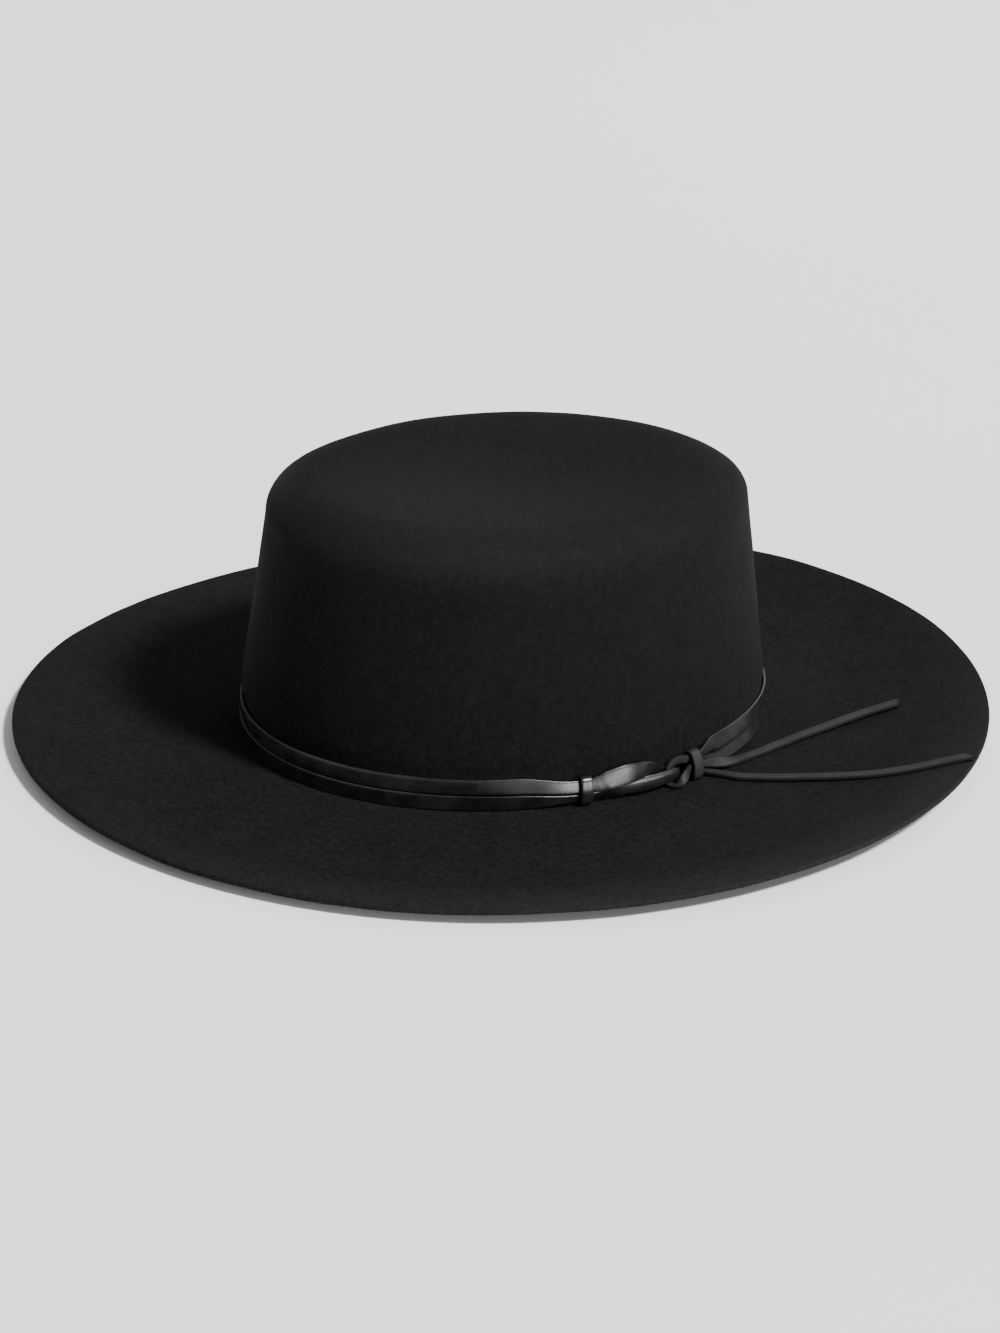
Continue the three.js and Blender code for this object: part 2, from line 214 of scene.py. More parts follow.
# Felt colours and how strongly the paler places show
BRIM_DARK = (0.0030, 0.0030, 0.0032, 1)
BRIM_LIGHT = (0.0084, 0.0084, 0.0085, 1)
CLOUD_PART = 0.10
MOTTLE_PART = 0.20
FLECK_PART = 0.7
SHADE_RANGE = (0.385, 0.615)
FLECK_RANGE = (0.3, 0.7)
NAP_ROUGHNESS = (0.80, 0.95)
FELT_SPECULAR = 0.05
SHEEN_WEIGHT = 0.012
SHEEN_ROUGHNESS = 0.45
SHEEN_TINT = (0.94, 0.95, 1.0, 1)
FLECK_DEPTH = 0.3 * MM
FIBRE_DEPTH = 0.1 * MM
CROWN_CALM = (0.0042, 0.0042, 0.0044, 1)
CROWN_BLUE = (0.3, 0.25, 1.0, 1)
CALM_SHARE = 0.4
BLUE_SHARE = 0.0007
CROWN_COLOUR_FROM = (10 * MM, 30 * MM)
# Painted light on the near side of the crown's tip: its middle, its depth below the top, the distances over
# which it fades, and its strength
TIP_LIGHT_MIDDLE = (40 * MM, -40 * MM, 95 * MM)
TIP_LIGHT_DEPTH = 17 * MM
TIP_LIGHT_REACH = (25 * MM, 95 * MM)
TIP_LIGHT_SHARE = 0.0032
LINT_RANGE = (0.66, 0.74)
LINT_SHARE = 0.003
# Painted light along the brim's edge: where it sets in across the brim, its strength, and how it weakens
# toward the wearer's right
RIM_REACH = (0.87, 0.965)
RIM_SHARE = 0.0050
RIM_SIDE_REACH = (0, 175 * MM)
RIM_LEAST = 0.1

# How fine each noise is, in cells per metre
CLOUD_SCALE = 45.0
MOTTLE_SCALE = 230.0
FLECK_SCALE = 480.0
LINT_SCALE = 520.0
FIBRE_SCALE = 2200.0
WEAR_SCALE = 110.0
FLOOR_SCALE = 3.0

# Leather. The first two are shares of its tone in red, green and blue.
DARK_LEATHER = (0.55, 0.55, 0.58)
PALE_LEATHER = (1.3, 1.28, 1.3)
LEATHER_WEAR = (0.35, 0.7)
LEATHER_EDGE = (0.003, 0.003, 0.003, 1)
EDGE_REACH = (0.76, 0.92)
STREAK_SCALE = (0.9, 2.4, 1.0)
STREAK_PART = 0.5
STREAK_DEPTH = 0.01 * MM
UNEVEN_RANGE = (0.45, 1.0)
ROUGHNESS_SPREAD = 0.14
FRONT_DULL_REACH = (-86 * MM, -62 * MM)
FRONT_DULLNESS = 0.3
EDGE_DULLNESS = 0.4

FLOOR_DARK = (0.86, 0.86, 0.86, 1)
FLOOR_LIGHT = (0.90, 0.90, 0.90, 1)
FLOOR_ROUGHNESS = 0.75


class Nodes:
    """Short calls for building a material's nodes."""

    def __init__(self, name):
        self.material = bpy.data.materials.new(name)
        self.material.use_nodes = True
        self.tree = self.material.node_tree
        self.shader = self.tree.nodes["Principled BSDF"]

    def add(self, kind, **values):
        """A node with its named properties and inputs set. A value that is a socket is linked."""
        node = self.tree.nodes.new(kind)
        for name, value in values.items():
            if hasattr(node, name):
                setattr(node, name, value)
            else:
                self.set(node, name.replace("_", " "), value)
        return node

    def set(self, node, name, value):
        socket = node.inputs[name]
        if isinstance(value, bpy.types.NodeSocket):
            self.tree.links.new(value, socket)
        else:
            socket.default_value = value

    def noise(self, vector, scale, detail=4.0, roughness=0.5):
        node = self.add("ShaderNodeTexNoise", Vector=vector, Scale=scale, Detail=detail, Roughness=roughness)
        return node.outputs["Fac"]

    def ramp(self, value, low, high, low_to=0.0, high_to=1.0):
        node = self.add("ShaderNodeMapRange", Value=value)
        node.inputs["From Min"].default_value = low
        node.inputs["From Max"].default_value = high
        node.inputs["To Min"].default_value = low_to
        node.inputs["To Max"].default_value = high_to
        return node.outputs["Result"]

    def math(self, operation, a, b=0.0):
        node = self.add("ShaderNodeMath", operation=operation)
        self.set(node, 0, a)
        self.set(node, 1, b)
        return node.outputs[0]

    def mix(self, share, a, b):
        node = self.add("ShaderNodeMix", data_type="RGBA")
        self.set(node, 0, share)
        self.set(node, 6, a)
        self.set(node, 7, b)
        return node.outputs[2]

    def bump(self, height, distance, strength=1.0, normal=None):
        node = self.add("ShaderNodeBump", Height=height, Distance=distance, Strength=strength)
        if normal is not None:
            self.set(node, "Normal", normal)
        return node.outputs["Normal"]


def painted_edge_light(n, place):
    """Painted light: a paler band along the brim's edge, standing in for a highlight there, strongest on the
    wearer's left.
    """
    at = n.add("ShaderNodeSeparateXYZ", Vector=place).outputs
    side = n.math("DIVIDE", at["X"], CROWN_SIDE + BRIM_SIDE_WIDTH)
    long = n.math("DIVIDE", at["Y"], CROWN_LONG + BRIM_END_WIDTH)
    reach = n.math("SQRT", n.math("ADD", n.math("MULTIPLY", side, side), n.math("MULTIPLY", long, long)))
    rim = n.ramp(reach, *RIM_REACH, 0.0, RIM_SHARE)
    return n.math("MULTIPLY", rim, n.ramp(at["X"], *RIM_SIDE_REACH, RIM_LEAST, 1.0))


def painted_tip_light(n, place, height):
    """Painted light: a soft pale patch on the near side of the crown's tip, standing in for the light that
    falls there.
    """
    high_up = n.ramp(height, CROWN_HEIGHT - TIP_LIGHT_DEPTH, CROWN_HEIGHT - SHOULDER_SOFTENING)
    from_patch = n.add("ShaderNodeVectorMath", operation="DISTANCE")
    n.set(from_patch, 0, place)
    n.set(from_patch, 1, TIP_LIGHT_MIDDLE)
    return n.math("MULTIPLY", high_up, n.ramp(from_patch.outputs["Value"], *TIP_LIGHT_REACH, TIP_LIGHT_SHARE, 0.0))


def felt_material():
    """Pressed wool felt: near black, finely mottled, with a short nap and fuzz."""
    n = Nodes("felt")
    place = n.add("ShaderNodeTexCoord").outputs["Object"]
    clouds = n.noise(place, CLOUD_SCALE, 3.0)
    flecks = n.noise(place, FLECK_SCALE, 5.0, 0.65)
    fibres = n.noise(place, FIBRE_SCALE, 3.0, 0.7)
    mottles = n.noise(place, MOTTLE_SCALE, 3.0, 0.6)
    uneven = n.math("ADD", n.math("MULTIPLY", clouds, CLOUD_PART), n.math("MULTIPLY", mottles, MOTTLE_PART))
    shade = n.math("ADD", uneven, n.math("MULTIPLY", flecks, FLECK_PART))
    brim_colour = n.mix(n.ramp(shade, *SHADE_RANGE), BRIM_DARK, BRIM_LIGHT)
    height = n.add("ShaderNodeSeparateXYZ", Vector=place).outputs["Z"]
    calmed = n.mix(n.ramp(height, *CROWN_COLOUR_FROM, 0.0, CALM_SHARE), brim_colour, CROWN_CALM)
    colour = n.mix(n.ramp(height, *CROWN_COLOUR_FROM, 0.0, BLUE_SHARE), calmed, CROWN_BLUE)
    lint = n.ramp(n.noise(place, LINT_SCALE, 2.0, 0.5), *LINT_RANGE, 0.0, LINT_SHARE)
    # Pale lint specks, plus painted light on the near side of the tip and along the brim's edge
    lint_and_painted_light = n.math("ADD", n.math("ADD", painted_tip_light(n, place, height), lint), painted_edge_light(n, place))
    n.set(n.shader, "Base Color", n.mix(lint_and_painted_light, colour, WHITE))
    n.set(n.shader, "Roughness", n.ramp(flecks, *FLECK_RANGE, *NAP_ROUGHNESS))
    n.set(n.shader, "Specular IOR Level", FELT_SPECULAR)
    n.set(n.shader, "Sheen Weight", SHEEN_WEIGHT)
    n.set(n.shader, "Sheen Roughness", SHEEN_ROUGHNESS)
    n.set(n.shader, "Sheen Tint", SHEEN_TINT)
    coarse = n.bump(flecks, FLECK_DEPTH, 0.7)
    n.set(n.shader, "Normal", n.bump(fibres, FIBRE_DEPTH, 0.8, coarse))
    return n.material


def leather_material(name, roughness, tone, specular, edge_dark):
    """Black drawn leather lace. Its UV runs along the lace in centimetres, and across it from -1 to 1.

    edge_dark is how much the faces darken toward the lace's edges, where they also get duller.
    """
    n = Nodes(name)
    uv = n.add("ShaderNodeUVMap", uv_map="lace").outputs["UV"]
    across = n.add("ShaderNodeSeparateXYZ", Vector=uv).outputs["Y"]
    place = n.add("ShaderNodeTexCoord").outputs["Object"]
    streaks_at = n.add("ShaderNodeMapping", Vector=uv)
    streaks_at.inputs["Scale"].default_value = STREAK_SCALE
    streaks = n.noise(streaks_at.outputs["Vector"], 1.0, 0.0)
    wear = n.noise(place, WEAR_SCALE, 2.0, 0.5)
    edge = n.ramp(n.math("ABSOLUTE", across), *EDGE_REACH)
    dark = [tone * part for part in DARK_LEATHER] + [1]
    light = [tone * part for part in PALE_LEATHER] + [1]
    face = n.mix(n.ramp(wear, *LEATHER_WEAR), dark, light)
    n.set(n.shader, "Base Color", n.mix(n.math("MULTIPLY", edge, edge_dark), face, LEATHER_EDGE))
    uneven = n.math("ADD", wear, n.math("MULTIPLY", streaks, STREAK_PART))
    rearward = n.add("ShaderNodeSeparateXYZ", Vector=place).outputs["Y"]
    front = n.ramp(rearward, *FRONT_DULL_REACH, FRONT_DULLNESS, 0.0)
    dull = n.math("MULTIPLY", edge, n.math("ADD", front, edge_dark * EDGE_DULLNESS))
    worn = n.ramp(uneven, *UNEVEN_RANGE, roughness, roughness + ROUGHNESS_SPREAD)
    n.set(n.shader, "Roughness", n.math("ADD", worn, dull))
    n.set(n.shader, "Specular IOR Level", specular)
    n.set(n.shader, "Normal", n.bump(streaks, STREAK_DEPTH, 0.2))
    return n.material


# Meshes

def mesh_piece(name, places, faces, material, replaced, uv=None):
    """A smooth piece in the shared frame that rides with the hat and stands for a CAD node."""
    mesh = bpy.data.meshes.new(name)
    mesh.from_pydata(places, [], faces)
    mesh.shade_smooth()
    if uv is not None:
        layer = mesh.uv_layers.new(name="lace")
        for loop in mesh.loops:
            layer.data[loop.index].uv = uv[loop.vertex_index]
    mesh.materials.append(material)
    mesh.update()
    piece = bpy.data.objects.new(name, mesh)
    bpy.context.scene.collection.objects.link(piece)
    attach(piece, "root")
    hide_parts(replaced)
    return piece


def ring_faces(rows, count):
    """Quads between closed rings of points that are stored row by row."""
    faces = []
    for row in range(rows - 1):
        for i in range(count):
            a = row * count + i
            b = row * count + (i + 1) % count
            faces.append((a, b, b + count, a + count))
    return faces


# Felt

def crown_crest(t):
    return CROWN_HEIGHT - CROWN_FRONT_LIFT * sin(t) + CROWN_LEFT_LIFT * cos(t)


def crown_oval(inset, z):
    return CROWN_SIDE - inset, CROWN_LONG - inset, BRIM_THICKNESS + z


def brim_oval(t, share, lift):
    flat = BRIM_FLAT_RUN / BRIM_END_WIDTH
    edge = (BRIM_RISE + BRIM_REAR_RISE * sin(t) + BRIM_LEFT_RISE * cos(t)
            - BRIM_END_RISE * cos(2 * t) + BRIM_WAVE * cos(3 * t))
    side = CROWN_SIDE + share * (BRIM_SIDE_WIDTH - BRIM_EDGE_ROUND)
    long = CROWN_LONG + share * (BRIM_END_WIDTH - BRIM_EDGE_ROUND)
    return side, long, lift + edge * (max(0.0, share - flat) / (1 - flat)) ** BRIM_SWEEP


def crown_skin(t, depth):
    """The crown's profile from above the band up over the shoulder to the middle of the tip."""
    crest = crown_crest(t) - depth
    drop = SHOULDER_DROP + SHOULDER_SOFTENING * (cos(t) - sin(t)) - depth
    run = SHOULDER_RUN - depth
    wall_top = crest - drop
    rows = []
    for i in range(WALL_ROWS + 1):
        z = lerp(BAND_TOP + LACE_WIDTH, wall_top, i / WALL_ROWS)
        rows.append(crown_oval(depth + CROWN_TAPER * (z - TAPER_START) / (wall_top - TAPER_START), z))
    for i in range(1, SHOULDER_ROWS + 1):
        turn = i / SHOULDER_ROWS * pi / 2
        rows.append(crown_oval(depth + CROWN_TAPER + run * (1 - cos(turn)), wall_top + drop * sin(turn)))
    rim_side, rim_long, _ = rows[-1]
    for i in range(1, TIP_ROWS):
        k = 1 - i / TIP_ROWS
        level = lerp(CROWN_HEIGHT - depth, crest, k) + BRIM_THICKNESS
        rows.append((rim_side * k, rim_long * k, level - DISH_DEPTH * (1 + cos(pi * k)) / 2))
    return rows


def left_tuck(t):
    """How much deeper the seat lies toward the picture's left, where the band is flush with the wall."""
    return LEFT_TUCK * smooth(t, *LEFT_TUCK_SETS_IN) * (1 - smooth(t, *LEFT_TUCK_ENDS))


def lip_rows(above, seat):
    """The short bend from the wall above the band down to the top of the band's seat."""
    rows = []
    for i in range(1, LIP_ROWS + 1):
        k = i / LIP_ROWS
        bend = smooth(k, 0, 1)
        side = lerp(above[0], seat[0], bend)
        long = lerp(above[1], seat[1], bend)
        rows.append((side, long, lerp(above[2], seat[2], k)))
    return rows


def seat_rows(tuck):
    """The seat that the band lies on, and the small round at its foot."""
    rows = []
    for i in range(1, SEAT_ROWS + 1):
        rows.append(crown_oval(tuck, lerp(BAND_TOP, SEAT_ROUND, i / SEAT_ROWS)))
    for i in range(1, SEAT_ROUND_ROWS + 1):
        turn = i / SEAT_ROUND_ROWS * pi / 2
        rows.append(crown_oval(tuck - SEAT_ROUND * (1 - cos(turn)), SEAT_ROUND * (1 - sin(turn))))
    return rows


def brim_rows(t):
    """The brim's top, its cut edge with two small rounds, and its underside."""
    rows = []
    for i in range(1, BRIM_ROWS + 1):
        share = i / BRIM_ROWS
        dip = BRIM_EDGE_DIP * smooth(share, BRIM_EDGE_DIP_FROM, 1)
        rows.append(brim_oval(t, share, BRIM_THICKNESS - dip))
    rim_side, rim_long, rim_z = brim_oval(t, 1, 0)
    for corner in (BRIM_THICKNESS - BRIM_EDGE_DIP - BRIM_EDGE_ROUND, BRIM_EDGE_ROUND):
        for i in range(1, BRIM_EDGE_ROWS):
            turn = (1 - i / BRIM_EDGE_ROWS) * pi / 2
            if corner == BRIM_EDGE_ROUND:
                turn = -pi / 2 * i / BRIM_EDGE_ROWS
            out = BRIM_EDGE_ROUND * cos(turn)
            rows.append((rim_side + out, rim_long + out, rim_z + corner + BRIM_EDGE_ROUND * sin(turn)))
    for i in range(BRIM_ROWS + 1):
        rows.append(brim_oval(t, lerp(1, UNDERSIDE_INNER_SHARE, i / BRIM_ROWS), 0))
    return rows


def head_rows(tuck):
    """The rounded edge of the head's opening and the wall inside the band."""
    rows = []
    for i in range(HEAD_EDGE_ROWS + 1):
        turn = i / HEAD_EDGE_ROWS * pi / 2
        inset = tuck + FELT_WALL - HEAD_EDGE_ROUND * (1 - sin(turn))
        rows.append(crown_oval(inset, HEAD_EDGE_ROUND * (1 - cos(turn)) - BRIM_THICKNESS))
    for i in range(1, HEAD_WALL_ROWS + 1):
        z = lerp(HEAD_EDGE_ROUND - BRIM_THICKNESS, BAND_TOP, i / HEAD_WALL_ROWS)
        rows.append(crown_oval(tuck + FELT_WALL, z))
    return rows


def felt_profile(t):
    """The felt's whole section at the angle t, from the middle of the tip outside to its middle inside."""
    outside = list(reversed(crown_skin(t, 0)))
    tuck = BAND_TUCK + left_tuck(t)
    lip = lip_rows(outside[-1], crown_oval(tuck, BAND_TOP))
    inside = crown_skin(t, FELT_WALL)
    return outside + lip + seat_rows(tuck) + brim_rows(t) + head_rows(tuck) + inside


def felt_mesh():
    profiles = [felt_profile(i * TURN / AROUND) for i in range(AROUND)]
    rows = len(profiles[0])
    places = []
    for row in range(rows):
        for i in range(AROUND):
            t = i * TURN / AROUND
            side, long, z = profiles[i][row]
            places.append((side * cos(t), long * sin(t), z))
    faces = ring_faces(rows, AROUND)
    top_middle = BRIM_THICKNESS + CROWN_HEIGHT - DISH_DEPTH
    first = len(places)
    last_row = (rows - 1) * AROUND
    places += [(0, 0, top_middle), (0, 0, top_middle - FELT_WALL)]
    for i in range(AROUND):
        after = (i + 1) % AROUND
        faces.append((first, after, i))
        faces.append((first + 1, last_row + i, last_row + after))
    return places, faces


def blocked_by_hand(places):
    """Small uneven waves of the felt. The resting ring and the band's seat stay as they are."""
    out = []
    for place in places:
        p = Vector(place)
        reach = sqrt((p.x / SEAT_SIDE) ** 2 + (p.y / SEAT_LONG) ** 2)
        on_brim = smooth(reach, *WAVY_BRIM_FROM)
        on_crown = smooth(p.z - BRIM_THICKNESS - BAND_TOP, *WAVY_CROWN_FROM)
        wide = noise.noise(p / WIDE_WAVE[0]) * WIDE_WAVE[1]
        fine = noise.noise(p / FINE_WAVE[0] + Vector(FINE_WAVE_SHIFT)) * FINE_WAVE[1]
        wave = wide + fine
        p.z = max(0.0, p.z + wave * on_brim * (1 - on_crown))
        out_from_middle = Vector((p.x, p.y, 0)).normalized()
        p += (out_from_middle * CROWN_WAVE_OUT + Vector((0, 0, CROWN_WAVE_UP))) * wave * on_crown
        out.append(p)
    return out


def add_felt(material):
    places, faces = felt_mesh()
    mesh_piece("felt", blocked_by_hand(places), faces, material, "felt_body")


# Lace

def beside_crown(t, out, up):
    away = out - left_tuck(t)
    return Vector(((SEAT_SIDE + away) * cos(t), (SEAT_LONG + away) * sin(t), BRIM_THICKNESS + up))


def outward(t):
    return Vector((cos(t) / SEAT_SIDE, sin(t) / SEAT_LONG, 0)).normalized()


def turn_at(place):
    return place / CROWN_LONG


def layer_out(layer):
    return CLEARANCE + LACE_THICK / 2 + layer * LAYER_PITCH


def looks(t, lift):
    """The direction that a lace's flat side faces: outward, raised by lift degrees."""
    return outward(t) * cos(radians(lift)) + Vector((0, 0, sin(radians(lift))))


def lace_section(width, crown):
    """The lace's section as (across, through) points: rounded edges, and a face that swells by crown."""
    half = width / 2
    thick = LACE_THICK / 2
    inner = half - LACE_EDGE
    flat = thick - LACE_EDGE
    points = []
    for right, top in ((1, 1), (1, -1), (-1, -1), (-1, 1)):
        for i in range(LACE_CORNER_STEPS + 1):
            turn = i / LACE_CORNER_STEPS * pi / 2
            if right * top < 0:
                turn = pi / 2 - turn
            across = right * (inner + LACE_EDGE * sin(turn))
            points.append((across, top * (flat + LACE_EDGE * cos(turn))))
        if top == 1 and right == -1:
            for k in FACE_POINTS:
                points.append((k * half, thick + crown * (1 - k * k)))
        if top == -1 and right == 1:
            for k in BACK_POINTS:
                points.append((k * half, -thick))
    return points


def lace_mesh(stations, slant=0):
    """Rings of the lace through stations of (place, run, face, width, swell), closed at both ends.

    slant is how far the last end leans along the run for each millimetre across.
    """
    places = []
    uv = []
    along = 0.0
    before = stations[0][0]
    for i, (at, run, face, width, swell) in enumerate(stations):
        lean = slant * max(0, i + 1 + SLANT_RINGS - len(stations)) / SLANT_RINGS
        along += (at - before).length
        before = at
        up = (face - run * face.dot(run)).normalized()
        wide = up.cross(run)
        for across, through in lace_section(width, swell):
            places.append(at + (wide + run * lean) * across + up * through)
            uv.append((along / CENTIMETRE, across * 2 / width))
    count = len(places) // len(stations)
    faces = ring_faces(len(stations), count)
    faces.append(tuple(range(count)))
    last = len(places) - count
    faces.append(tuple(range(len(places) - 1, last - 1, -1)))
    return places, faces, uv


def share_out(a, b, low, high, s):
    return a * ((high - s) / (high - low)) + b * ((s - low) / (high - low))


def between_knots(points, knots, s):
    """The place at s on the centripetal Catmull-Rom curve through four points with their knots."""
    lines = [share_out(points[j], points[j + 1], knots[j], knots[j + 1], s) for j in range(3)]
    bends = [share_out(lines[j], lines[j + 1], knots[j], knots[j + 2], s) for j in range(2)]
    return share_out(bends[0], bends[1], knots[1], knots[2], s)


def spline(points, count):
    """count + 1 places and runs along a smooth curve through the points, even in rows."""
    ends = [points[0] * 2 - points[1]] + points + [points[-1] * 2 - points[-2]]
    last = len(points) - 1
    out = []
    for i in range(count + 1):
        row = min(last - 1, i * last // count)
        share = i / count * last - row
        four = ends[row:row + 4]
        knots = [0.0]
        for a, b in zip(four, four[1:]):
            knots.append(knots[-1] + sqrt((b - a).length))
        here, before, after = (
            between_knots(four, knots, lerp(knots[1], knots[2], k))
            for k in (share, max(0, share - RUN_STEP), min(1, share + RUN_STEP))
        )
        out.append((here, (after - before).normalized()))
    return out


def stations_from_table(table, swells):
    """Stations of a lace that follows a table of along, layer, foot, up, wide and face, as in the CAD.

    swells holds how much the lace's face swells over the first and over the second half of its way.
    """
    rows = []
    for along, layer, foot, up, wide, face in table:
        t = turn_at(lerp(FRONT_KEEPER_PLACE, REAR_KEEPER_PLACE, along))
        height = CLEARANCE + LACE_THICK / 2 + foot * LAYER_PITCH + up * LACE_WIDTH
        rows.append((t, beside_crown(t, layer_out(layer), height), wide, face))
    per_row = LOOP_RINGS_PER_ROW
    count = (len(rows) - 1) * per_row
    stations = []
    for i, (at, run) in enumerate(spline([row[1] for row in rows], count)):
        swell = lerp(*swells, smooth(i / count, *SWELL_CHANGE))
        start = min(len(rows) - 2, i // per_row)
        k = i / per_row - start
        ease = smooth(k, 0, 1)
        t = lerp(rows[start][0], rows[start + 1][0], k)
        wide = lerp(rows[start][2], rows[start + 1][2], ease)
        face = lerp(rows[start][3], rows[start + 1][3], ease)
        stations.append((at, run, looks(t, face), LACE_WIDTH * wide, swell))
    return stations


# Ways of the tails in millimetres, each row with the tilt of the face in degrees.
UPPER_TAIL_ROUTE = [
    (87.9, 31.5, 7.5, 0),
    (87.1, 34.6, 7.5, 0),
    (86.4, 38.5, 7.1, 15),
    (85.2, 43.5, 5.7, 45),
    (83.7, 49.5, 4.2, 75),
    (82.3, 55.0, 3.6, 90),
    (80.9, 61.0, 3.5, 90),
    (79.9, 66.0, 3.5, 90),
    (78.6, 71.3, 3.6, 90),
    (77.2, 77.3, 3.7, 90),
    (75.8, 83.5, 3.85, 90),
    (74.5, 90.0, 4.0, 90),
    (73.5, 96.7, 4.2, 90),
    (71.3, 110.0, 4.7, 90),
    (70.0, 122.0, 5.4, 90),
    (70.1, 135.7, 6.5, 90),
]
LOWER_TAIL_ROUTE = [
    (87.45, 31.45, 4.9, 90),
    (86.75, 34.5, 4.85, 90),
    (88.0, 38.2, 4.1, 90),
    (91.0, 42.0, 3.65, 90),
    (95.6, 46.3, 3.6, 90),
    (98.6, 50.8, 3.65, 90),
    (101.6, 55.6, 3.75, 90),
    (104.8, 61.2, 3.95, 90),
    (108.0, 67.0, 4.2, 90),
    (111.2, 72.4, 4.5, 90),
    (114.4, 78.0, 4.9, 90),
    (120.4, 89.6, 5.9, 90),
    (124.8, 102.0, 7.2, 90),
    (128.0, 114.0, 8.7, 90),
    (131.4, 125.0, 10.4, 90),
]


def add_tail(name, route, slant, node, material):
    """A free end: narrow in the keeper, then at full width, with its tip cut aslant."""
    points = [Vector((x, y, z)) * MM for x, y, z, _ in route]
    per_row = TAIL_RINGS_PER_ROW
    count = (len(route) - 1) * per_row
    stations = []
    for i, (at, run) in enumerate(spline(points, count)):
        start = min(len(route) - 2, i // per_row)
        face = lerp(route[start][3], route[start + 1][3], smooth(i / per_row - start, 0, 1))
        out = Vector((at.x / SEAT_SIDE ** 2, at.y / SEAT_LONG ** 2, 0)).normalized()
        width = lerp(REAR_KEPT_WIDTH, TAIL_WIDTH, smooth(i / per_row, *TAIL_OPENS_BETWEEN_ROWS))
        up = out * cos(radians(face)) + Vector((0, 0, sin(radians(face))))
        stations.append((at, run, up, width, LACE_SWELL))
    places, faces, uv = lace_mesh(stations, slant=slant)
    piece = mesh_piece(name, places, faces, material, node, uv)


def kept_share(angle, reach):
    """1 inside a keeper, falling smoothly to 0 at the angle reach beyond its end."""
    return 1 - smooth(angle, 0, reach)


def add_band(name, node, material, level, front_width, front_foot, stand_out, tip_up, front_tip, rear_tip):
    """One of the two runs of the band, from the rear keeper round the far side into the front keeper.

    level is 0 for the lower run. front_width and front_foot are its width and height in the front keeper,
    and stand_out is how far it stands out from its seat. tip_up, front_tip and rear_tip are how far its face
    is tipped up in degrees: along the crown, by the front keeper and by the rear keeper.
    """
    start = turn_at(REAR_KEEPER_PLACE + CLEARANCE / 2)
    end = TURN + turn_at(FRONT_KEEPER_PLACE - CLEARANCE / 2)
    leave = start + turn_at(REAR_KEEPER_LENGTH / 2 + CLEARANCE)
    enter = end - turn_at(FRONT_KEEPER_LENGTH / 2 + CLEARANCE)
    stations = []
    for i in range(BAND_RINGS + 1):
        t = lerp(start, end, i / BAND_RINGS)
        rear = kept_share(t - leave, REAR_KEPT_REACH)
        front = kept_share(enter - t, KEPT_REACH)
        free = (1 - rear) * (1 - front)
        width = LACE_WIDTH + rear * (REAR_KEPT_WIDTH - LACE_WIDTH) + front * (front_width - LACE_WIDTH)
        free_foot = CLEARANCE + level * (LACE_WIDTH + CLEARANCE)
        rear_foot = CLEARANCE + 2 * LAYER_PITCH + level * (REAR_KEPT_WIDTH + CLEARANCE)
        foot = free_foot + rear * (rear_foot - free_foot) + front * (front_foot - free_foot)
        foot += level * REAR_GAP * 4 * rear * (1 - rear)
        on_show = smooth(t, *BAND_COMES_INTO_VIEW)
        by_front = smooth(t, *BAND_NEARS_FRONT_KEEPER)
        at = beside_crown(t, layer_out(rear + front) + stand_out * free * on_show, foot + width / 2)
        run = Vector((-SEAT_SIDE * sin(t), SEAT_LONG * cos(t), 0)).normalized()
        near_rear = 1 - smooth(t - leave, *BAND_LEAVES_REAR_KEEPER)
        tip = lerp(tip_up, front_tip, by_front) * on_show
        face = lerp(tip, rear_tip, near_rear) * (1 - rear * KEPT_FACE_LOSS)
        stations.append((at, run, looks(t, face), width, BAND_SWELL))
    places, faces, uv = lace_mesh(stations)
    mesh_piece(name, places, faces, material, node, uv)


LOWER_RUN = {
    "level": 0,
    "front_width": 2.9 * MM,
    "front_foot": 1.8 * MM,
    "stand_out": 0.9 * MM,
    "tip_up": 0,
    "front_tip": -8,
    "rear_tip": 40,
}
UPPER_RUN = {
    "level": 1,
    "front_width": 4.9 * MM,
    "front_foot": 5.0 * MM,
    "stand_out": 0.35 * MM,
    "tip_up": 4,
    "front_tip": 16,
    "rear_tip": 26,
}

# Ways of the loops. Each row holds how far along from the front to the rear keeper, the layer out from the
# crown, the layers and the lace widths up from the brim, the width as a share and the face's tilt in degrees.
UPPER_ARM = [
    (0.003, 1.05, 1, 0.87, 0.84, 15),
    (0.050, 1.08, 1, 0.87, 0.84, 16),
    (0.120, 1.35, 1, 0.95, 1.04, 18),
    (0.195, 1.62, 1, 1.10, 1.24, 19),
    (0.331, 1.85, 1, 1.28, 1.28, 17),
    (0.469, 1.45, 1, 1.30, 1.10, 14),
    (0.560, 0.95, 1, 1.22, 0.92, 4),
    (0.615, 0.45, 1, 0.95, 0.84, 0),
    (0.680, 0.10, 1, 0.66, 0.78, 0),
    (0.760, 0.00, 1, 0.50, 0.68, 0),
    (0.806, 0.28, 1, 0.46, 0.62, 0),
]
LOWER_ARM = [
    (0.832, 1.10, 1, 0.46, 0.62, 0),
    (0.806, 1.95, 1, 0.47, 0.68, 0),
    (0.758, 2.20, 1, 0.50, 0.82, 2),
    (0.680, 2.20, 1, 0.47, 0.84, 4),
    (0.613, 2.15, 1, 0.43, 0.88, 6),
    (0.469, 1.85, 1, 0.40, 0.98, 8),
    (0.331, 1.25, 1, 0.38, 0.90, 6),
    (0.195, 0.95, 1, 0.34, 0.74, 0),
    (0.120, 0.90, 1, 0.28, 0.62, -4),
    (0.050, 0.85, 1, 0.28, 0.52, 0),
    (0.003, 0.85, 1, 0.28, 0.52, 0),
]
